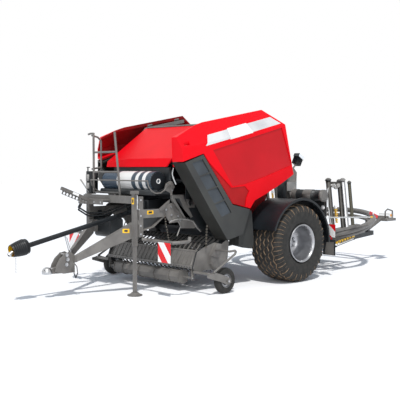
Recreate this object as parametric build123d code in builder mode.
"""Trailed round baler with film binding and a tilted ring wrapper behind the axle.

Millimetres. +X is the machine's left side, -Y the drawbar, +Z up, and the ground is Z = 0.
"""
import os
from math import cos, radians, sin, sqrt

from build123d import *

os.makedirs("parts", exist_ok=True)

# ---------------------------------------------------------------- driving dimensions
clearance = 8  # between pieces that move and their neighbours
touch = 5  # running gap at hubs and pins

# running gear
axle_y = 320
wheel_radius = 615
wheel_width = 600
wheel_x = 1180  # middle of each tyre
rim_radius = 290
hub_radius = 115
spindle_radius = 45
mudguard_radius = 684

# red body
panel_x = 1150  # outer face of the side panels
panel_edge_x = 927  # top edge, where the leaning flank ends
panel_skin = 30
panel_hinge_x = 905
panel_hinge_front = (-930, 2480)  # Y, Z
panel_hinge_rear = (-100, 2650)
hood_left = -740
hood_right = 800
hood_skin = 25
hood_hinge = (-1030, 2440)  # Y, Z

# bale chamber
chamber_y = -250
chamber_z = 1600
chamber_radius = 640  # inside the rollers' ring
roller_radius = 55
gate_hinge_z = 2300
wall_x = 640  # inner face of the chamber walls
wall_skin = 14

# frame
frame_x = 600  # middle of the side beams
frame_width = 80
beam_low = 1085
beam_high = 1205
front_y = -2275  # front face of the front beam
beam_top = 1390  # top of the front beam
post_depth = 80
carrier_x = 790  # middle of the low beams that carry the wrapper
mast_y = 900

# pick-up
pickup_half = 1000
pickup_pivot = (-900, 690)  # Y, Z
reel_y = -1230
reel_z = 400
reel_tip = 225
crop_roller_y = -1568
crop_roller_z = 210
crop_roller_radius = 100
crop_roller_inset = 216  # from the pick-up's cheek to the roller's end
crop_roller_stub = 190
crop_roller_half = pickup_half - crop_roller_inset
feed_rotor_radius = 175
gauge_radius = 185
gauge_width = 90
gauge_x = 1325
gauge_y = -1265

# wrapper
ring_y = 2180
ring_z = 750
ring_radius = 1280
ring_tube = 50
ring_tilt = 9.2
track_tube = 34
tower_height = 880
table_front_y = 1800
table_rear_y = 2560
table_z = 500
table_half = 600
table_roller = 80

# film rolls
roll_radius = 144
roll_y = -1900
roll_z = 1600
roll_left = -580
roll_right = 620

# driveline
joint_y = -3827  # cross of the front universal joint
joint_z = 716
gearbox_y = -1720
gearbox_z = 1180
yoke_droop = 20
yoke_length = 128
yoke_bore = 17.5


# ---------------------------------------------------------------- helpers
def block(low, high, mode=Mode.ADD):
    """Box between its lowest and highest corner."""
    size = [high[axis] - low[axis] for axis in range(3)]
    centre = [(high[axis] + low[axis]) / 2 for axis in range(3)]
    with Locations(tuple(centre)):
        Box(*size, mode=mode)


def block_pair(low, high):
    """Box on the left-hand side, and its mirror image on the right-hand side."""
    block(low, high)
    block((-high[0], low[1], low[2]), (-low[0], high[1], high[2]))


def rod(start, end, radius, mode=Mode.ADD):
    """Round bar between two points."""
    run = Vector(*end) - Vector(*start)
    with BuildSketch(Plane(origin=start, z_dir=run)) as section:
        Circle(radius)
    extrude(section.sketch, amount=run.length, mode=mode)


def bent_rod(points, radius):
    """Round bar through a row of points, with round corners."""
    for start, end in zip(points, points[1:]):
        rod(start, end, radius)
    for corner in points[1:-1]:
        with Locations(corner):
            Sphere(radius)


def beam(start, end, width, height, mode=Mode.ADD):
    """Square bar between two points, its width level and its height upright."""
    run = Vector(*end) - Vector(*start)
    level = Vector(0, 0, 1).cross(run)
    if level.length < 1:
        level = Vector(1, 0, 0)
    with BuildSketch(Plane(origin=start, x_dir=level, z_dir=run)) as section:
        Rectangle(width, height)
    extrude(section.sketch, amount=run.length, mode=mode)


def plate(corners, low_x, high_x, mode=Mode.ADD):
    """Plate whose outline lies in the YZ plane, from low_x to high_x."""
    with BuildSketch(Plane.YZ.offset(low_x)) as outline:
        with BuildLine():
            Polyline(*corners, close=True)
        make_face()
    extrude(outline.sketch, amount=high_x - low_x, mode=mode)


def bolts(spots, x, radius=14, proud=9):
    """Bolt heads on the outer face of a plate at x."""
    for y, z in spots:
        rod((x, y, z), (x + proud, y, z), radius)


def save(piece, node):
    """Label a finished piece and write it as its own node."""
    piece.label = node
    export_step(piece, f"parts/{node}.step")


def save_pair(piece, node):
    """Write a left-hand piece, and its mirror image as the right-hand one."""
    save(piece, f"{node}_left")
    save(mirror(piece, about=Plane.YZ), f"{node}_right")


# ---------------------------------------------------------------- wheels
wheel_plane = Plane(origin=(wheel_x, axle_y, wheel_radius), x_dir=(1, 0, 0), z_dir=(0, -1, 0))
wheel_axis = Axis((wheel_x, axle_y, wheel_radius), (1, 0, 0))
half = wheel_width / 2

with BuildPart() as tyre:
    with BuildSketch(wheel_plane):
        with BuildLine():
            crown = ThreePointArc((half - 40, wheel_radius - 22), (0, wheel_radius),
                (40 - half, wheel_radius - 22))
            Polyline((40 - half, wheel_radius - 22), (6 - half, wheel_radius - 70))
            ThreePointArc((6 - half, wheel_radius - 70), (-half, 460), (30 - half, rim_radius + 20))
            Polyline((30 - half, rim_radius + 20), (40 - half, rim_radius), (half - 40, rim_radius))
            Line((half - 40, rim_radius), (half - 30, rim_radius + 20))
            ThreePointArc((half - 30, rim_radius + 20), (half, 460), (half - 6, wheel_radius - 70))
            Line((half - 6, wheel_radius - 70), (half - 40, wheel_radius - 22))
        make_face()
    revolve(axis=wheel_axis)
save_pair(tyre.part, "tyre")

dish = [  # across, radius
    (half - 40, rim_radius), (half - 40, rim_radius - 12), (160, rim_radius - 30), (20, 190), (-40, 170),
    (-60, hub_radius), (40, hub_radius), (40, spindle_radius + 1), (-120, spindle_radius + 1),
    (-120, hub_radius), (-90, 190), (-40, 215), (120, rim_radius - 14), (40 - half, rim_radius - 14),
    (40 - half, rim_radius),
]
with BuildPart() as rim:
    with BuildSketch(wheel_plane):
        with BuildLine():
            Polyline(*dish, close=True)
        make_face()
    revolve(axis=wheel_axis)
    rod((wheel_x + 40, axle_y, wheel_radius), (wheel_x + 75, axle_y, wheel_radius), 62)
    for number in range(8):
        turn = radians(45 * number)
        y = axle_y + (hub_radius - 24) * cos(turn)
        z = wheel_radius + (hub_radius - 24) * sin(turn)
        rod((wheel_x + 40, y, z), (wheel_x + 60, y, z), 11)
save_pair(rim.part, "rim")

# ---------------------------------------------------------------- frame
beam_in = frame_x - frame_width / 2
beam_out = frame_x + frame_width / 2
axle_half = wheel_x - 190
axle_top = wheel_radius + 65
with BuildPart() as axle_beam:
    block((-axle_half, axle_y - 65, wheel_radius - 65), (axle_half, axle_y + 65, axle_top))
    rod((-wheel_x - 20, axle_y, wheel_radius), (wheel_x + 20, axle_y, wheel_radius), spindle_radius)
    block_pair((wall_x - 40, axle_y - 60, axle_top), (wall_x, axle_y + 60, axle_top + 110))
    block_pair((carrier_x - 20, axle_y - 35, axle_top), (carrier_x + 20, axle_y + 35,
        wheel_radius + mudguard_radius))
save(axle_beam.part, "axle_beam")

post_rear = front_y + post_depth
bracket = [
    (-1825, 1205), (-1730, 1273), (-1620, 1290), (-1505, 1190), (-1405, 1120), (-1405, 990), (-1512, 1000),
    (-1700, 990), (-1760, 1060),
]
with BuildPart() as side_beams:
    block((beam_in, post_rear, beam_low), (beam_out, -1300, beam_high))
    plate([(post_rear, beam_low), (post_rear, 905), (-2004, 944), (-1841, 1061), (-1793, beam_low)],
        beam_out - 60, beam_out - 54)
    flange = [(post_rear, 905), (-2004, 944), (-1841, 1061), (-1793, beam_low), (-1815, beam_low),
        (-1850, 1072)]
    plate(flange + [(-2008, 958), (post_rear, 919)], beam_out - 60, beam_out)
    plate(bracket, beam_out, beam_out + wall_skin)
    bolts([(-1790, 1190), (-1700, 1230), (-1690, 1110), (-1560, 1090), (-1700, 1020), (-1520, 1025)],
        beam_out + wall_skin)
    plate([(-1900, 1180), (-1840, 1180), (-1715, 1290), (-1715, 1335), (-1900, 1215)], beam_out,
        beam_out + 16)
    guide = [(-1731, 1001), (-1620, 1036), (-1512, 1045), (-1380, 1030), (-1263, 996), (-1186, 898),
        (-1109, 837)]
    bent_rod([(beam_out + 26, y, z) for y, z in guide], 11)
    plate([(-1560, 1010), (-1405, 1030), (-1262, 992), (-1200, 915), (-1240, 890), (-1500, 905)],
        beam_out + 14, beam_out + 24)
    rod((beam_out + 20, -1513, 930), (beam_out + 20, -1580, 795), 8)
    mirror(about=Plane.YZ)
save(side_beams.part, "side_beams")

with BuildPart() as front_beam:
    block((-700, front_y, beam_top - 105), (beam_out, post_rear, beam_top))
    block_pair((beam_in, front_y, 820), (beam_out, post_rear, beam_top - 105))
    plate([(front_y, beam_top), (front_y, 1240), (post_rear, 1240), (post_rear, beam_top)], -712, -700)
save(front_beam.part, "front_beam")

with BuildPart() as cross_beam:
    block((-beam_in, -1480, beam_low), (beam_in, -1380, beam_high))
save(cross_beam.part, "cross_beam")

with BuildPart() as oil_tank:
    block((20 - beam_in, -2190, 760), (-150, -1950, 1040))
    chamfer(oil_tank.edges().filter_by(Axis.X), 30)
    block((-beam_in, -2120, 960), (24 - beam_in, -2060, 1150))
    rod((-330, -2070, 1030), (-330, -2070, 1056), 45)
save(oil_tank.part, "oil_tank")

rail_front = (100, -2960, 533)
rail_rear = (490, front_y, 915)
with BuildPart() as drawbar_rails:
    with BuildSketch(Plane(origin=rail_front, x_dir=(1, 0, 0), z_dir=(0, 1, 0))) as nose_section:
        Rectangle(64, 86)
    with BuildSketch(Plane(origin=rail_rear, x_dir=(1, 0, 0), z_dir=(0, 1, 0))) as root_section:
        Rectangle(80, 210)
    loft([nose_section.sketch.face(), root_section.sketch.face()])
    block((beam_in - 110, front_y, 830), (beam_in, post_rear, 1010))
    mirror(about=Plane.YZ)
save(drawbar_rails.part, "drawbar_rails")

hitch_side = [(-3249, 466), (-3198, 548), (-3118, 610), (-3037, 629), (-2960, 580), (-2960, 340),
    (-3141, 335), (-3279, 375)]
with BuildPart() as hitch_head:
    for side in (-1, 1):
        plate(hitch_side, min(side * 58, side * 72), max(side * 58, side * 72))
    block((-132, -2990, 485), (132, -2960, 580))
    plate([(-3350, 345), (-3350, 405), (-3290, 421), (-2990, 460), (-2990, 340)], -38, 38)
    plate([(-3240, 345), (-3240, 420), (-2990, 470), (-2990, 340)], -58, 58)
    with Locations((0, -3363, 372)):
        Sphere(70)
    with Locations((0, -3363, 300)):
        Cylinder(100, 90, mode=Mode.SUBTRACT)
        Cylinder(42, 144, mode=Mode.SUBTRACT)
    with Locations((0, -3363, 370)):
        Sphere(42, mode=Mode.SUBTRACT)
    for y, z in ((-3097, 590), (-3084, 530), (-3103, 460)):
        rod((-84, y, z), (84, y, z), 17)
    for side in (-1, 1):
        bent_rod([(side * 22, -2975, 560), (side * 22, -3060, 835), (0, -3060, 835)], 7)
    hoop = [(66, -2985, 470), (98, -2985, 430), (98, -2992, 330), (98, -2962, 262), (98, -2932, 330),
        (98, -2945, 420)]
    bent_rod(hoop + [(98, -2975, 455), (66, -2985, 470)], 7)
save(hitch_head.part, "hitch_head")

# ---------------------------------------------------------------- jack
jack_x = 600
jack_half = 30
jack_y = front_y - 12 - jack_half
jack_bore = jack_half - 6
with BuildPart() as jack_sleeve:
    block((jack_x - jack_half, jack_y - jack_half, 700), (jack_x + jack_half, jack_y + jack_half, 1470))
    block((jack_x - jack_bore, jack_y - jack_bore, 700), (jack_x + jack_bore, jack_y + jack_bore, 1440),
        mode=Mode.SUBTRACT)
    block((jack_x - 46, jack_y - 42, 1425), (jack_x + 46, jack_y + 42, 1470))
    block((jack_x - 50, jack_y + jack_half, 1290), (jack_x + 40, front_y, 1385))
    block((jack_x - 50, jack_y + jack_half, 1000), (jack_x + 40, front_y, 1060))
    rod((jack_x + jack_half, jack_y, 1400), (jack_x + 50, jack_y, 1400), 20)
save(jack_sleeve.part, "jack_sleeve")

with BuildPart() as jack_handle:
    crank = [(jack_x + 50, jack_y, 1400), (jack_x + 64, jack_y, 1400), (jack_x + 64, jack_y, 1215)]
    bent_rod(crank + [(jack_x + 110, jack_y, 1215)], 9)
save(jack_handle.part, "jack_handle")

with BuildPart() as jack_leg:
    block((jack_x - jack_bore + 2, jack_y - jack_bore + 2, 20),
        (jack_x + jack_bore - 2, jack_y + jack_bore - 2, 1060))
    with Locations((jack_x, jack_y, 8)):
        Cylinder(105, 16)
    with Locations((jack_x, jack_y, 32)):
        Cone(85, 45, 32)
save(jack_leg.part, "jack_leg")

# ---------------------------------------------------------------- bale chamber
with BuildPart() as chamber_walls:
    with BuildSketch(Plane.YZ.offset(wall_x)):
        with Locations((chamber_y, chamber_z)):
            Circle(chamber_radius + 60)
        with Locations((chamber_y + 1000, chamber_z)):
            Rectangle(2000 - 12, 3000, mode=Mode.SUBTRACT)
        with BuildLine():
            Polyline(
                (chamber_y - 6, chamber_z + 700), (chamber_y - 6, 2360), (-1000, 2380), (-1400,
                    1900), (-1400, 1000),
                (-1165, 900), (-900, 800), (-600, 740), (230, axle_top + 10), (400, axle_top + 10), (400,
                    790),
                (-100, 880), (chamber_y - 6, 885), (chamber_y - 6, 1400), (-600, 2000), close=True,
            )
        make_face()
    extrude(amount=wall_skin)
    mirror(about=Plane.YZ)
save(chamber_walls.part, "chamber_walls")

with BuildPart() as chamber_rollers:
    for number in range(7):
        angle = radians(105 + 25 * number)
        spot = (0, chamber_y + chamber_radius * cos(angle), chamber_z + chamber_radius * sin(angle))
        rod((-wall_x, spot[1], spot[2]), (wall_x, spot[1], spot[2]), roller_radius)
save(chamber_rollers.part, "chamber_rollers")

rotor_y = -640
rotor_z = 860
with BuildPart() as feed_rotor:
    rod((touch - wall_x, rotor_y, rotor_z), (wall_x - touch, rotor_y, rotor_z), 60)
    for number in range(13):
        x = -540 + 90 * number
        star = []
        for corner in range(8):
            reach = feed_rotor_radius if corner % 2 == 0 else 70
            turn = radians(45 * corner + 22.5 * number)
            star.append((rotor_y + reach * cos(turn), rotor_z + reach * sin(turn)))
        plate(star, x - 6, x + 6)
save(feed_rotor.part, "feed_rotor")

with BuildPart() as feed_housing:
    housing_radius = feed_rotor_radius + 18
    with BuildSketch(Plane.YZ.offset(-wall_x)) as scoop:
        with Locations((rotor_y, rotor_z)):
            Circle(housing_radius + 6)
            Circle(housing_radius, mode=Mode.SUBTRACT)
        with Locations((rotor_y, rotor_z + 500)):
            Rectangle(1000, 1000, mode=Mode.SUBTRACT)
    extrude(scoop.sketch, amount=2 * wall_x)
save(feed_housing.part, "feed_housing")

gate_hinge = (chamber_y, gate_hinge_z)
with BuildPart() as tailgate:
    with BuildSketch(Plane.YZ.offset(-wall_x)):
        with Locations((chamber_y, chamber_z)):
            Circle(chamber_radius + 60)
            Circle(chamber_radius + 45, mode=Mode.SUBTRACT)
        with Locations((chamber_y - 1000, chamber_z)):
            Rectangle(2000 + 12, 3000, mode=Mode.SUBTRACT)
    extrude(amount=2 * wall_x)
    for side in (0, 1):
        with BuildSketch(Plane.YZ.offset(-wall_x - wall_skin if side == 0 else wall_x)):
            with Locations((chamber_y, chamber_z)):
                Circle(chamber_radius + 60)
            with Locations((chamber_y - 1000, chamber_z)):
                Rectangle(2000 + 12, 3000, mode=Mode.SUBTRACT)
        extrude(amount=wall_skin)
    for number in range(7):
        angle = radians(75 - 25 * number)
        y = chamber_y + (chamber_radius - 20) * cos(angle)
        z = chamber_z + (chamber_radius - 20) * sin(angle)
        rod((-wall_x, y, z), (wall_x, y, z), roller_radius)
    for y in (-20, 180):
        block((-wall_x, y, 2090), (wall_x, y + 40, 2150))
    for side in (-1, 1):
        rod((side * (wall_x + wall_skin), chamber_y, gate_hinge_z),
            (side * (wall_x + 44), chamber_y, gate_hinge_z), 22)
save(tailgate.part, "tailgate")

rail_in = wall_x + wall_skin
with BuildPart() as roof:
    block((-wall_x, -1000, 2340), (wall_x, chamber_y - 6, 2360))
    top_rail = [(-1000, 2380), (-930, 2460), (-100, 2630), (-100, 2570), (-870, 2410), (-870, 2380)]
    for side in (-1, 1):
        plate(top_rail, min(side * 820, side * 880), max(side * 820, side * 880))
        block((min(side * rail_in, side * 820), -900, 2300), (max(side * rail_in, side * 820), -840, 2360))
        block((min(side * rail_in, side * 820), -420, 2300), (max(side * rail_in, side * 820), -360, 2360))
        for y, high in ((-900, 2425), (-420, 2525)):
            block((min(side * 820, side * 840), y, 2300), (max(side * 820, side * 840), y + 60, high))
save(roof.part, "roof")

# ---------------------------------------------------------------- red panels
fold_front = (panel_x, -1480, 2140)
fold_rear = (panel_x, 220, 2470)
flank_top = (panel_edge_x, -43, 2700)
flank_normal = (Vector(*fold_rear) - Vector(*fold_front)).cross(Vector(*flank_top) - Vector(*fold_front))
if flank_normal.X < 0:
    flank_normal = -flank_normal
flank_normal = flank_normal.normalized()
panel_rear_low = (480, 1690)
panel_tip = (-533, 1183)


def panel_body(inset):
    """Silhouette of the side panel, pulled in by inset on every side but the inner one."""
    with BuildSketch(Plane.YZ.offset(panel_edge_x - 2)) as outline:
        with BuildLine():
            Polyline((-43, 2700), (268, 2470), panel_rear_low)
            ThreePointArc(panel_rear_low, (28, 1477), (-433, 1299))
            Polyline((-433, 1299), panel_tip, (-906, 1264), (-1504, 1995), (-1900, 1875), (-1915, 2215),
                (-1505, 2395))
            ThreePointArc((-1505, 2395), (-1000, 2545), (-43, 2700))
        make_face()
        if inset:
            offset(amount=-inset, kind=Kind.INTERSECTION)
    with BuildPart() as body:
        extrude(outline.sketch, amount=panel_x - inset - panel_edge_x + 2)
        flank = Plane(origin=Vector(*fold_front) - flank_normal * inset, z_dir=flank_normal)
        split(bisect_by=flank, keep=Keep.BOTTOM)
    return body.part


field = [(-1322, 2045), (188, 2425), (440, 1835), (-236, 1644), (-655, 1545), (-915, 1520)]
stripe = [
    (-622, 1235), (-605, 1347), (-545, 1450), (-264, 1550), (460, 1815), (464, 1700), (-206, 1425), (-440,
        1310),
    (-525, 1200),
]
with BuildPart() as side_panel:
    add(panel_body(0))
    add(panel_body(panel_skin), mode=Mode.SUBTRACT)
    plate(field, panel_x - 12, panel_x + 1, mode=Mode.SUBTRACT)
    with BuildSketch(Plane.YZ.offset(panel_x - 11)) as tuck:
        with BuildLine():
            Polyline((-1440, 1900), (-936, 1500), (-650, 1520), (-560, 1440), (-615, 1345), (-640, 1217),
                (-906, 1262), close=True)
        make_face()
    extrude(tuck.sketch, amount=12, mode=Mode.SUBTRACT)
    with Locations((panel_x - 40, -1800, 2080)):
        Box(40, 110, 190, mode=Mode.SUBTRACT)
    hinge_run = (panel_hinge_rear[1] - panel_hinge_front[1]) / (panel_hinge_rear[0] - panel_hinge_front[0])
    for y in (-860, -260):
        z = panel_hinge_front[1] + hinge_run * (y - panel_hinge_front[0])
        rod((panel_hinge_x, y, z), (panel_hinge_x, y + 100, z + 100 * hinge_run), 16)
        block((panel_hinge_x, y + 10, z - 20), (panel_edge_x + 20, y + 90, z + 6))
save(side_panel.part, "side_panel_left")
far_nose = Plane(origin=(-panel_x, -1700, 2000), z_dir=(90, 223, 0))
with BuildPart() as side_panel_far:
    add(mirror(side_panel.part, about=Plane.YZ))
    split(bisect_by=far_nose, keep=Keep.TOP)
save(side_panel_far.part, "side_panel_right")

fold_y = -1790
fold_z = 1930


def hood_body(inset):
    """Solid under the hood's outer faces, pulled in by inset at the front, the top and both sides."""
    rise = (hood_hinge[1] - fold_z) / (hood_hinge[0] - fold_y)
    drop = inset * sqrt(1 + rise * rise)
    corners = [(fold_y - 30 + inset, 1806 - inset), (fold_y + inset, fold_z - drop + inset * rise)]
    corners += [(hood_hinge[0] + inset, hood_hinge[1] - drop + inset * rise),
        (hood_hinge[0] + inset, 1806 - inset)]
    with BuildPart() as body:
        plate(corners, hood_left + inset, hood_right - inset)
        corner_top = Vector(-653, hood_hinge[0], hood_hinge[1])
        corner_low = Vector(-203, fold_y, fold_z)
        corner_side = Vector(hood_left, -1640, 2006)
        normal = (corner_top - corner_low).cross(corner_side - corner_low).normalized()
        if normal.Z < 0:
            normal = -normal
        split(bisect_by=Plane(origin=corner_low - normal * inset, z_dir=normal), keep=Keep.BOTTOM)
    return body.part


with BuildPart() as front_hood:
    add(hood_body(0))
    add(hood_body(hood_skin), mode=Mode.SUBTRACT)
    with BuildSketch(Plane.XZ.offset(-fold_y - 30)) as end_cut:
        with BuildLine():
            Polyline((hood_right, fold_z), (hood_right - 111, 1806), (hood_right, 1806), close=True)
        make_face()
    extrude(end_cut.sketch, amount=70, mode=Mode.SUBTRACT)
    rod((hood_left + 60, hood_hinge[0], hood_hinge[1] + 4),
        (hood_right - 60, hood_hinge[0], hood_hinge[1] + 4), 16)
save(front_hood.part, "front_hood")

# ---------------------------------------------------------------- dark slanted covers
vent_front = (-1870 + clearance, 1870 - clearance)
vent_low = (-1020, 730)
louvre_across = Vector(-15, 205, 54)
louvre_down = Vector(5, 140, -182)
with BuildPart() as vent_panels:
    vent_outline = [
        vent_front, (-1504 - clearance, 1995 - 2 * clearance), (-906 - clearance, 1264 - 2 * clearance),
        (panel_tip[0] - clearance, panel_tip[1] - 2 * clearance), (-690, 800), vent_low, (-1320, 1120),
    ]
    plate(vent_outline, 880, panel_x)
    hollow = [(-1822, 1850), (-1530, 1945), (-925, 1210), (-600, 1140), (-725, 835), (-1000, 775),
        (-1280, 1130)]
    plate(hollow, 870, panel_x - 30, mode=Mode.SUBTRACT)
    for number in range(4):
        corner = Vector(panel_x - 5, -1731 + 148 * number, 1858 - 199 * number)
        floor = Plane(origin=corner, x_dir=louvre_across, z_dir=louvre_down.cross(louvre_across))
        rim = [corner, corner + louvre_across, corner + louvre_across + louvre_down, corner + louvre_down]
        with BuildSketch(floor) as pocket:
            Polygon(*[tuple(floor.to_local_coords(point))[:2] for point in rim], align=None)
        extrude(pocket.sketch, amount=40, mode=Mode.SUBTRACT)
    mirror(about=Plane.YZ)
    split(bisect_by=far_nose, keep=Keep.TOP)
save(vent_panels.part, "vent_panels")

with BuildPart() as skirts:
    skirt = [(-700, 786), (-682, 800), (-540, 1140), (-420, 1140), (-372, 700), (-372, 600), (-420, 555),
        (-700, 625)]
    plate(skirt, 870, 1070)
    plate([(-680, 780), (-530, 1120), (-440, 1120), (-392, 640), (-680, 640)], 860, 1050,
        mode=Mode.SUBTRACT)
    block((rail_in, -540, 1100), (1055, -505, 1130))
    mirror(about=Plane.YZ)
save(skirts.part, "skirts")

# ---------------------------------------------------------------- film rolls under the hood
roll_span = roll_right - roll_left
with BuildPart() as film_roll:
    with BuildSketch(Plane.YZ.offset(roll_left + 18)):
        with Locations((roll_y, roll_z)):
            Circle(roll_radius)
    extrude(amount=roll_span - 36)
    for x in (roll_left, roll_right - 18):
        with BuildSketch(Plane.YZ.offset(x)) as disc:
            with Locations((roll_y, roll_z)):
                Circle(roll_radius - 12)
                with PolarLocations(roll_radius - 12, 24):
                    Rectangle(14, 16)
                Circle(34, mode=Mode.SUBTRACT)
        extrude(disc.sketch, amount=18)
save(film_roll.part, "film_roll")

cradle_left = roll_left - 50
cradle_right = roll_right + 60
tray_gap = 90
tray_drop = sqrt((roll_radius + 30) ** 2 - tray_gap ** 2)
hoop_y = -1985
hoop_z = 1618
hoop_reach = 190
with BuildPart() as roll_cradle:
    block((cradle_left - 12, -1740, 1440), (cradle_right + 12, -1725, 1800))
    for x in (cradle_left - 12, cradle_right):
        plate([(-1740, 1800), (-1740, 1420), (-2010, 1420), (-2010, 1440), (-1850, 1500), (-1755, 1572),
            (-1745, 1800)], x, x + 12)
    for y in (roll_y - tray_gap, roll_y + tray_gap):
        rod((cradle_left, y, roll_z - tray_drop), (cradle_right, y, roll_z - tray_drop), 30)
    block((cradle_left, -2010, 1400), (cradle_right, -1740, 1412))
    block((cradle_left - 12, -2022, 1400), (cradle_right + 12, -2010, 1440))
    for number in range(9):
        block((-600 + 150 * number - 8, -1725, 1460), (-600 + 150 * number + 8, -1700, 1790))
    run = []
    for side in (cradle_left - 30, cradle_right + 30):
        arc = []
        for step in range(7):
            turn = radians(183 + 25.5 * step)
            arc.append((side, hoop_y + hoop_reach * cos(turn), hoop_z + hoop_reach * sin(turn)))
        run = arc[::-1] + run if side < 0 else run + arc
    bent_rod(run, 10)
    for x in (cradle_left - 39, cradle_right):
        block((x, -1820, 1532), (x + 39, -1740, 1548))
save(roll_cradle.part, "roll_cradle")

with BuildPart() as roll_arms:
    outer_x = rail_in + 46
    arm = [(-1706, 1400), (-1487, 1400), (-1480, 1350), (-1300, 1066), (-1340, 1052), (-1463, 1064),
        (-1700, 1330)]
    plate(arm, rail_in, outer_x)
    plate([(-1660, 1350), (-1560, 1350), (-1410, 1075), (-1450, 1065)], outer_x - 8, outer_x,
        mode=Mode.SUBTRACT)
    rod((rail_in, -1363, 1279), (rail_in + 60, -1363, 1279), 48)
    plate([(-1400, 1200), (-1240, 1200), (-1240, 1300), (-1400, 1330)], rail_in, rail_in + 24)
    block((cradle_right + 12, -1740, 1400), (rail_in + 46, -1700, 1440))
    mirror(about=Plane.YZ)
save(roll_arms.part, "roll_arms")

# ---------------------------------------------------------------- ladder and platform
ladder_y = -2092
with BuildPart() as ladder:
    rod((-700, ladder_y, beam_top), (-700, ladder_y, 2330), 17)
    bent_rod([(-160, ladder_y, 2330), (-72, ladder_y, 1738), (-38, ladder_y, 1398),
        (-38, ladder_y, 1342)], 17)
    for z, end in ((1420, -40), (1730, -71), (2030, -115)):
        rod((-700, ladder_y, z), (end, ladder_y, z), 15)
    grab = [(-700, 0, 2285), (-768, 20, 2292), (-768, 128, 2268), (-768, 190, 2210), (-768, 190, 1800)]
    grab += [(-768, 20, 1775), (-700, 0, 1770)]
    bent_rod([(x, ladder_y + back, z) for x, back, z in grab], 14)
    bent_rod([(-700, ladder_y, 2320), (-770, ladder_y, 2322), (-835, ladder_y, 2312)], 15)
    block((-711, post_rear - 50, beam_top), (-670, ladder_y + 20, beam_top + 12))
save(ladder.part, "ladder")

step_front = front_y - 145
with BuildPart() as step_plate:
    block((-640, step_front, 1318), (-10, front_y, 1331))
    block((-640, step_front, 1257), (-10, step_front + 6, 1331))
    with Locations((-325, step_front + 72, 1325)):
        with GridLocations(38, 34, 15, 4):
            Cylinder(9, 40, mode=Mode.SUBTRACT)
    block((-640, post_rear, 1330), (-10, -1960, 1342))
    for x in (-600, -50):
        rod((x, step_front - 8, 1290), (x, step_front, 1290), 12)
save(step_plate.part, "step_plate")

with BuildPart() as control_cabinet:
    block((-880, -2108, 1400), (-740, -1985, 1740))
    block((-870, -2122, 1470), (-800, -2108, 1560))
    block((-870, -2122, 1590), (-800, -2108, 1690))
    block((-862, -2100, 1740), (-848, -2086, 1800))
    block((-880, -2100, 1792), (-810, -2086, 1806))
    block((-760, -2180, beam_top + 12), (-690, -2112, beam_top + 24))
    block((-760, -2112, beam_top + 12), (-740, -2100, beam_top + 24))
    for shift in (0, 40):
        run = [(-830 + shift, -2070, 1405), (-820 + shift, -2230, 1300), (-770, -2330, 1190 - shift)]
        run += [(-520, -2330, 1110 - shift), (-380, -2140, 1120 - shift), (-155, -1790, 1265 - shift)]
        bent_rod(run + [(-155, gearbox_y - 2, 1265 - shift)], 13)
    rod((-820, -2100, 1410), (-960, -2160, 1610), 11)
save(control_cabinet.part, "control_cabinet")

rack_start = Vector(-350, front_y, 1262)
rack_end = Vector(-350, -2900, 1500)
rack_dir = (rack_end - rack_start).normalized()
with BuildPart() as hose_rack:
    beam(tuple(rack_start + rack_dir * 182), tuple(rack_end), 44, 46)
    with BuildSketch(Plane(origin=tuple(rack_start), x_dir=rack_dir, z_dir=(1, 0, 0))) as lower:
        with Locations((400, 50)):
            Rectangle(480, 54)
        with Locations((400, 52)):
            with GridLocations(58, 10, 8, 1):
                Circle(20, mode=Mode.SUBTRACT)
    extrude(lower.sketch, amount=8)
    block((-372, -2460, 1262), (-328, step_front, 1331))
save(hose_rack.part, "hose_rack")

# ---------------------------------------------------------------- driveline
pto_run = Vector(0, gearbox_y - joint_y, gearbox_z - joint_z)
pto_dir = pto_run.normalized()
pto_length = pto_run.length
joint = Vector(0, joint_y, joint_z)
joint_tuple = (0, joint_y, joint_z)
guard_end = pto_length - 110
slant = radians(yoke_droop)
yoke_dir = Vector(0, -pto_dir.Y * cos(slant) + pto_dir.Z * sin(slant),
    -pto_dir.Z * cos(slant) - pto_dir.Y * sin(slant))
yoke_plane = Plane(origin=joint_tuple, x_dir=(1, 0, 0), z_dir=yoke_dir)
shaft_plane = Plane(origin=joint_tuple, x_dir=(1, 0, 0), z_dir=pto_dir)


def along(distance):
    """Point on the drive shaft's axis, measured back from its front joint."""
    return tuple(joint + pto_dir * distance)


with BuildPart() as gearbox:
    block((-180, gearbox_y, 1050), (180, -1480, gearbox_z + 130))
    block((-120, gearbox_y - 30, gearbox_z - 110), (120, gearbox_y, gearbox_z + 110))
    rod(along(guard_end), along(pto_length + 20), 34)
    block((-beam_in, -1560, beam_low + 20), (-180, -1480, beam_high - 20))
    block((180, -1560, beam_low + 20), (beam_in, -1480, beam_high - 20))
save(gearbox.part, "gearbox")

bell = [  # distance back from the joint, radius
    (-72, 80), (0, 94), (60, 104), (120, 110), (160, 104), (184, 62), (190, 34), (180, 34), (176,
        54), (154, 97),
    (120, 104), (60, 98), (0, 88), (-72, 74),
]
with BuildPart() as pto_bell:
    with BuildSketch(Plane(origin=joint_tuple, x_dir=pto_dir, z_dir=(1, 0, 0))):
        with BuildLine():
            Polyline(*bell, close=True)
        make_face()
    revolve(axis=Axis(joint_tuple, pto_dir))
save(pto_bell.part, "pto_bell")

with BuildPart() as pto_guard:
    rod(along(180), along(guard_end), 34)
    rod(along(179), along(guard_end + 1), 28, mode=Mode.SUBTRACT)
save(pto_guard.part, "pto_guard")

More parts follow.
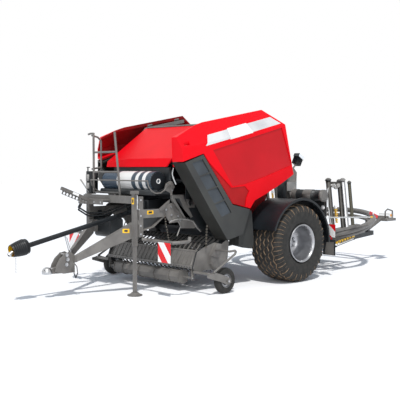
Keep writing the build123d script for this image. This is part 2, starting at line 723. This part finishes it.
with BuildPart() as pto_shaft:
    rod(along(44), along(60), 34)
    rod(along(60), along(330), 19)
    with Locations(shaft_plane):
        for side in (-1, 1):
            with Locations((0, side * 29, 18)):
                Box(32, 10, 64)
        Sphere(16)
        Cylinder(8, 68, rotation=(0, 90, 0))
        Cylinder(8, 68, rotation=(90, 0, 0))
save(pto_shaft.part, "pto_shaft")

with BuildPart() as pto_yoke:
    with Locations(yoke_plane):
        with Locations((0, 0, 48 + (yoke_length - 48) / 2)):
            Cylinder(30, yoke_length - 48)
            Cylinder(yoke_bore, yoke_length - 46, mode=Mode.SUBTRACT)
        for side in (-1, 1):
            with Locations((side * 29, 0, 20)):
                Box(9, 32, 64)
        Cylinder(9, 90, rotation=(0, 90, 0), mode=Mode.SUBTRACT)
save(pto_yoke.part, "pto_yoke")

# ---------------------------------------------------------------- pick-up
pivot_y, pivot_z = pickup_pivot
cheek = [
    (-1518, 585), (-1400, 640), (-1177, 700), (-1030, 668), (-930, 720), (-870, 690), (-900, 420), (-1170,
        300),
    (-1359, 310), (-1560, 280), (-1600, 367),
]
with BuildPart() as pickup_frame:
    for side in (-1, 1):
        inner = side * pickup_half
        outer = inner + side * 26
        plate(cheek, min(inner, outer), max(inner, outer))
    rod((-pickup_half, pivot_y, pivot_z), (pickup_half, pivot_y, pivot_z), 38)
    block((-pickup_half, pivot_y - 20, pivot_z + 25), (pickup_half, pivot_y + 20, pivot_z + 46))
    rod((-pickup_half, reel_y, reel_z), (-pickup_half + 30, reel_y, reel_z), 60)
    rod((pickup_half - 30, reel_y, reel_z), (pickup_half, reel_y, reel_z), 60)
    case = [(-1170, 690), (-1065, 672), (-945, 500), (-956, 420), (-1170, 297), (-1290, 400), (-1286, 520)]
    plate(case, pickup_half + 26, pickup_half + 78)
    plate([(-1170, 690), (-1065, 672), (-1150, 470), (-1290, 520)], pickup_half + 78, pickup_half + 92)
    bolts([(-1120, 660), (-985, 490), (-1000, 420), (-1170, 325), (-1260, 420)], pickup_half + 78, 10, 8)
save(pickup_frame.part, "pickup_frame")

band_pitch = (2 * pickup_half - 180) / 19
with BuildPart() as pickup_bands:
    for number in range(20):
        x = -pickup_half + 90 + number * band_pitch
        with BuildSketch(Plane.YZ.offset(x - 22)) as band:
            with Locations((reel_y, reel_z)):
                Circle(178)
                Circle(172, mode=Mode.SUBTRACT)
            with Locations((reel_y + 200, reel_z)):
                Rectangle(400, 400, mode=Mode.SUBTRACT)
            with BuildLine():
                Polyline(
                    (reel_y, reel_z + 172), (reel_y, reel_z + 178), (pivot_y - 22, pivot_z + 54),
                    (pivot_y + 20, pivot_z + 54), (pivot_y + 20, pivot_z + 46), (pivot_y - 20,
                        pivot_z + 46), close=True,
                )
            make_face()
        extrude(band.sketch, amount=44)
save(pickup_bands.part, "pickup_bands")

with BuildPart() as tine_reel:
    rod((-pickup_half + 40, reel_y, reel_z), (pickup_half - 40, reel_y, reel_z), 60)
    for number in range(19):
        x = -pickup_half + 90 + (number + 0.5) * band_pitch
        for turn in range(4):
            angle = radians(45 + 90 * turn)
            rod(
                (x, reel_y + 50 * cos(angle), reel_z + 50 * sin(angle)),
                (x, reel_y + reel_tip * cos(angle), reel_z + reel_tip * sin(angle)),
                5,
            )
save(tine_reel.part, "tine_reel")

roller_flange = crop_roller_radius + 12
with BuildPart() as crop_roller:
    with BuildSketch(Plane.YZ.offset(-crop_roller_half)):
        with Locations((crop_roller_y, crop_roller_z)):
            RegularPolygon(crop_roller_radius, 8)
    extrude(amount=2 * crop_roller_half)
    for share in (-1, -0.72, -0.2, 0.28, 0.72, 1):
        x = share * (crop_roller_half - 12)
        with BuildSketch(Plane.YZ.offset(x - 6)) as flange:
            with Locations((crop_roller_y, crop_roller_z)):
                RegularPolygon(roller_flange, 8)
        extrude(flange.sketch, amount=12)
    for side in (-1, 1):
        rod(
            (side * crop_roller_half, crop_roller_y, crop_roller_z),
            (side * (crop_roller_half + crop_roller_stub), crop_roller_y, crop_roller_z), 15,
        )
save(crop_roller.part, "crop_roller")

deck_front = (-1585, 372)
arm_x = crop_roller_half + crop_roller_stub + touch
with BuildPart() as crop_guard:
    block((-pickup_half, deck_front[0] - 18, 350), (pickup_half, deck_front[0] + 18, 392))
    block((-pickup_half, -1478, 575), (pickup_half, -1448, 600))
    plate([(-1584, 385), (-1462, 598), (-1455, 594), (-1577, 381)], -pickup_half, pickup_half)
    for number in range(21):
        x = -pickup_half + 60 + number * (2 * pickup_half - 120) / 20
        with BuildSketch(Plane.YZ.offset(x - 6)) as slat:
            with BuildLine():
                Polyline((-1590, 385), (-1470, 600), (-1380, 690), (-1368, 680), (-1448, 590),
                    (-1570, 380), close=True)
            make_face()
        extrude(slat.sketch, amount=12)
    for side in (-1, 1):
        low_x = min(side * arm_x, side * (arm_x + 10))
        foot = crop_roller_z - 30
        plate([(crop_roller_y - 32, foot), (crop_roller_y + 40, foot), (deck_front[0] + 10, 352),
            (crop_roller_y - 30, 352)],
              low_x, low_x + 10)
        rod((side * arm_x, crop_roller_y, crop_roller_z),
            (side * (arm_x + 18), crop_roller_y, crop_roller_z), 26)
save(crop_guard.part, "crop_guard")

gauge_in = gauge_x - gauge_width / 2
gauge_out = gauge_x + gauge_width / 2
with BuildPart() as gauge_wheel:
    rod((gauge_in, gauge_y, gauge_radius), (gauge_out, gauge_y, gauge_radius), gauge_radius)
    fillet(gauge_wheel.edges().filter_by(GeomType.CIRCLE), 30)
    rod((gauge_in - 1, gauge_y, gauge_radius), (gauge_in + 28, gauge_y, gauge_radius), 100,
        mode=Mode.SUBTRACT)
    rod((gauge_out - 28, gauge_y, gauge_radius), (gauge_out + 1, gauge_y, gauge_radius), 100,
        mode=Mode.SUBTRACT)
    rod((gauge_in, gauge_y, gauge_radius), (gauge_out, gauge_y, gauge_radius), 34)
    rod((gauge_in - 1, gauge_y, gauge_radius), (gauge_out + 1, gauge_y, gauge_radius), 16,
        mode=Mode.SUBTRACT)
save_pair(gauge_wheel.part, "gauge_wheel")

with BuildPart() as gauge_arms:
    outer_in = gauge_out + touch
    gauge_arm = [(-1659, 305), (-1500, 325), (-1330, 270), (-1190, 205), (-1190, 150), (-1264, 126),
        (-1414, 190), (-1659, 265)]
    plate(gauge_arm, outer_in, outer_in + 12)
    rod((gauge_in - 40, gauge_y, gauge_radius), (outer_in, gauge_y, gauge_radius), 15)
    rod((outer_in + 12, gauge_y, gauge_radius), (outer_in + 26, gauge_y, gauge_radius), 24)
    rod((pickup_half + 26, -1580, 305), (outer_in, -1580, 305), 20)
    handle = [(outer_in + 6, -1540, 325), (outer_in + 6, -1111, 552), (outer_in + 6, -1088, 585),
        (outer_in + 6, -1110, 605)]
    bent_rod(handle + [(outer_in + 6, -1215, 600)], 16)
    rod((outer_in + 6, -1215, 600), (pickup_half + 92, -1215, 600), 14)
    mirror(about=Plane.YZ)
save(gauge_arms.part, "gauge_arms")

# ---------------------------------------------------------------- fixed board carrier in front of the pick-up
tube_y = -2170
with BuildPart() as board_carrier:
    tip = panel_x + 150
    bent_rod([(beam_out, post_rear - 20, 790), (700, tube_y, 784), (1060, tube_y, 778),
        (tip - 60, tube_y + 10, 780),
              (tip, tube_y + 70, 784), (tip, -1940, 786), (tip, -1920, 800), (tip, -1915, 850)], 24)
    for x in (1010, 1180):
        block((x, tube_y - 26, 740), (x + 20, tube_y - 4, 800))
    mirror(about=Plane.YZ)
save(board_carrier.part, "board_carrier")

with BuildPart() as warning_boards:
    block((964, tube_y - 30, 500), (1226, tube_y - 26, 775))
    mirror(about=Plane.YZ)
save(warning_boards.part, "warning_boards")

# ---------------------------------------------------------------- mudguards
guard_in = wheel_x - half - 10
strut_top = wheel_radius + mudguard_radius
with BuildPart() as mudguards:
    with BuildSketch(Plane.YZ.offset(guard_in)) as arch:
        with Locations((axle_y, wheel_radius)):
            Circle(mudguard_radius + 6)
            Circle(mudguard_radius, mode=Mode.SUBTRACT)
        with Locations((axle_y - 600, wheel_radius - 270)):
            Rectangle(1200, 1000, mode=Mode.SUBTRACT)
        with Locations((axle_y + 600, wheel_radius - 530)):
            Rectangle(1200, 1000, mode=Mode.SUBTRACT)
    extrude(arch.sketch, amount=wheel_width)
    with BuildSketch(Plane.YZ.offset(guard_in + wheel_width - 34)) as lip:
        with Locations((axle_y, wheel_radius)):
            Circle(mudguard_radius + 22)
            Circle(mudguard_radius - 14, mode=Mode.SUBTRACT)
        with Locations((axle_y - 600, wheel_radius - 270)):
            Rectangle(1200, 1000, mode=Mode.SUBTRACT)
        with Locations((axle_y + 600, wheel_radius - 530)):
            Rectangle(1200, 1000, mode=Mode.SUBTRACT)
    extrude(lip.sketch, amount=34)
    block((carrier_x + 20, axle_y - 30, strut_top - 45), (guard_in + 60, axle_y + 30, strut_top))
    mirror(about=Plane.YZ)
save(mudguards.part, "mudguards")

# ---------------------------------------------------------------- wrapper
tilt = radians(ring_tilt)
ring_plane = Plane(origin=(0, ring_y, ring_z), x_dir=(1, 0, 0), z_dir=(0, -sin(tilt), cos(tilt)))


def on_ring(x, y, z=0):
    """Point in the machine's frame from one in the tilted ring's own frame."""
    return tuple(ring_plane.from_local_coords((x, y, z)))


def round_ring(radius, reach, z, tube):
    """Polar spot on the ring: reach is degrees round from the left-hand side."""
    return (radius * cos(radians(reach)), radius * sin(radians(reach)), z + tube)


with BuildPart() as wrap_ring:
    with BuildSketch(Plane(origin=on_ring(ring_radius, 0), x_dir=(1, 0, 0),
            z_dir=(0, -1, 0))) as ring_section:
        Circle(ring_tube)
    revolve(ring_section.sketch, axis=Axis(on_ring(0, 0), ring_plane.z_dir))
save(wrap_ring.part, "wrap_ring")

track_radius = ring_radius - 60
track_drop = ring_tube + track_tube + clearance
with BuildPart() as ring_track:
    with BuildSketch(Plane(origin=on_ring(track_radius, 0, -track_drop), x_dir=(1, 0, 0),
            z_dir=(0, -1, 0))) as track_section:
        Circle(track_tube)
    revolve(track_section.sketch, axis=Axis(on_ring(0, 0), ring_plane.z_dir))
save(ring_track.part, "ring_track")

beam_front = (axle_y + 65, 350)
beam_rear = (ring_y + ring_radius - 200, 560)
beam_slope = (beam_rear[1] - beam_front[1]) / (beam_rear[0] - beam_front[0])
track_reach = sqrt(track_radius ** 2 - carrier_x ** 2)
with BuildPart() as wrap_beams:
    beam((carrier_x, *beam_front), (carrier_x, *beam_rear), 80, 80)
    block((carrier_x - 40, axle_y + 60, 310), (carrier_x + 40, axle_y + 90, wheel_radius - 65))
    for side in (-1, 1):
        seat = on_ring(carrier_x, side * track_reach, -track_drop)
        low = beam_front[1] + beam_slope * (seat[1] - beam_front[0])
        block((carrier_x - 30, seat[1] - 30, low + 20), (carrier_x + 30, seat[1] + 30, seat[2]))
    block((table_half + 25 + touch, table_rear_y - 25, table_z - 25),
        (carrier_x - 40, table_rear_y + 25, table_z + 25))
    mirror(about=Plane.YZ)
save(wrap_beams.part, "wrap_beams")

tail_y = beam_rear[0] - 60
tail_z = beam_rear[1] - 5
with BuildPart() as wrap_tail:
    block((40 - carrier_x, tail_y - 40, tail_z - 40), (carrier_x - 40, tail_y + 40, tail_z + 40))
save(wrap_tail.part, "wrap_tail")

towers = [  # degrees round the ring, radius, height share
    (-28.5, 44, 0.98), (-19.5, 32, 0.92), (-16, 43, 0.93), (-9.5, 30, 0.85),
]
with BuildPart() as prestretch:
    for place, radius, share in towers:
        x, y, z = round_ring(ring_radius, place, ring_tube, 30)
        rod(on_ring(x, y, z), on_ring(x, y, z + tower_height * share), radius)
    with BuildSketch(ring_plane.offset(ring_tube - 6)) as foot:
        with PolarLocations(ring_radius, 1, start_angle=-19):
            Rectangle(110, 620)
    extrude(foot.sketch, amount=44)
    for low, high, first, last in ((0.93, 0.88, -29.5, -19), (0.86, 0.88, -20, -15)):
        start = round_ring(ring_radius, first, ring_tube + 30, tower_height * low)
        end = round_ring(ring_radius, last, ring_tube + 30, tower_height * high)
        beam(on_ring(*start), on_ring(*end), 56, 50)
save(prestretch.part, "prestretch_left")
with BuildPart() as prestretch_far:
    add(prestretch.part.rotate(Axis(on_ring(0, 0), ring_plane.z_dir), 180))
save(prestretch_far.part, "prestretch_right")

with BuildPart() as wrap_table:
    for y in (table_front_y, table_rear_y):
        rod((-table_half, y, table_z), (table_half, y, table_z), table_roller)
        for side in (-1, 1):
            with Locations(Plane(origin=(side * (table_half - 60), y, table_z), z_dir=(side, 0, 0))):
                Cone(table_roller, table_roller + 45, 120)
    for side in (-1, 1):
        x = side * (table_half + 12)
        block((x - 12, table_front_y - 60, table_z - 45), (x + 12, table_rear_y + 60, table_z + 45))
    block((-table_half, ring_y - 40, table_z - 45), (table_half, ring_y + 40, table_z - 5))
save(wrap_table.part, "wrap_table")

with BuildPart() as table_belts:
    for number in range(5):
        x = -400 + 200 * number
        with BuildSketch(Plane.YZ.offset(x - 60)) as belt:
            with Locations(((table_front_y + table_rear_y) / 2, table_z)):
                SlotCenterToCenter(table_rear_y - table_front_y, 2 * table_roller + 14)
                SlotCenterToCenter(table_rear_y - table_front_y, 2 * table_roller, mode=Mode.SUBTRACT)
        extrude(belt.sketch, amount=120)
save(table_belts.part, "table_belts")

# ---------------------------------------------------------------- rear masts, guards and lamps
mast_out = carrier_x + 40
with BuildPart() as rear_masts:
    mast_low = beam_front[1] + beam_slope * (mast_y - 40 - beam_front[0]) + 40
    block((carrier_x - 20, mast_y - 40, mast_low + 8), (carrier_x + 20, mast_y + 40, 1300))
    post = [(mast_y - 150, 1290), (mast_y - 170, 1500), (mast_y - 60, 1760), (mast_y, 1790),
        (mast_y + 80, 1713)]
    plate(post + [(mast_y + 72, 1560), (mast_y + 60, 1290)], carrier_x - 20, carrier_x + 20)
    wing = [(mast_y - 370, 1275), (mast_y - 370, 1520), (mast_y - 140, 1600), (mast_y - 40, 1600),
        (mast_y - 40, 1275)]
    plate(wing, carrier_x - 14, carrier_x - 4)
    block((carrier_x + 20, mast_y - 185, 1409), (carrier_x + 28, mast_y + 65, 1557))
    rod((carrier_x + 20, mast_y + 5, 1341), (1445, mast_y + 5, 1341), 94)
    for x, wide in ((850, 70), (1057, 165), (1396, 49)):
        rod((x, mast_y + 5, 1341), (x + wide, mast_y + 5, 1341), 99)
    block((1150, mast_y + 65, 1000), (1440, mast_y + 75, 1341))
    block((1195, mast_y + 65, 870), (1370, mast_y + 75, 1000))
    block((1385, mast_y + 60, 955), (1415, mast_y + 72, 1340))
    rod((1400, mast_y + 66, 984), (1400, 2340, 927), 11)
    rod((carrier_x, mast_y - 10, 1770), (carrier_x, mast_y + 95, 1870), 14)
    beam((carrier_x, mast_y + 82, 1850), (carrier_x, mast_y + 142, 1955), 110, 120)
    beam((carrier_x, mast_y + 142, 1955), (carrier_x, mast_y + 170, 2004), 120, 140)
    mirror(about=Plane.YZ)
save(rear_masts.part, "rear_masts")

flap_y = 1190
flap_low = beam_front[1] + beam_slope * (flap_y - beam_front[0])
with BuildPart() as mud_flaps:
    rod((mast_out, flap_y, flap_low), (1200, flap_y, 610), 22)
    rod((1200, flap_y, 610), (1440, flap_y, 610), 22)
    block((1225, flap_y - 28, 350), (1475, flap_y - 22, 612))
    block((1310, flap_y - 30, 650), (1475, flap_y - 24, 862))
    block((1380, flap_y - 24, 610), (1410, flap_y - 14, 850))
    mirror(about=Plane.YZ)
save(mud_flaps.part, "mud_flaps")

rear_end = -joint_y + yoke_length - 4
with BuildPart() as light_bar:
    for side in (-1, 1):
        block((side * 600 - 30, tail_y + 40, tail_z - 30), (side * 600 + 30, tail_y + 100, tail_z + 30))
        beam((side * 604, tail_y + 75, tail_z), (side * 700, 3710, 800), 60, 50)
    block((-1000, 3700, 775), (1000, 3760, 825))
    for side in (-1, 1):
        block((min(side * 590, side * 838), 3760, 800), (max(side * 590, side * 838), 3800, 850))
        block((min(side * 590, side * 838), 3800, 790), (max(side * 590, side * 838), rear_end, 900))
        bent_rod([(side * 940, 3730, 820), (side * 940, 3730, 960), (side * 940, 3560, 1000),
            (side * 940, 3480, 960),
                  (side * 940, 3480, 830)], 14)
    block((-1000, 3440, 775), (-880, 3700, 815))
    block((880, 3440, 775), (1000, 3700, 815))
save(light_bar.part, "light_bar")
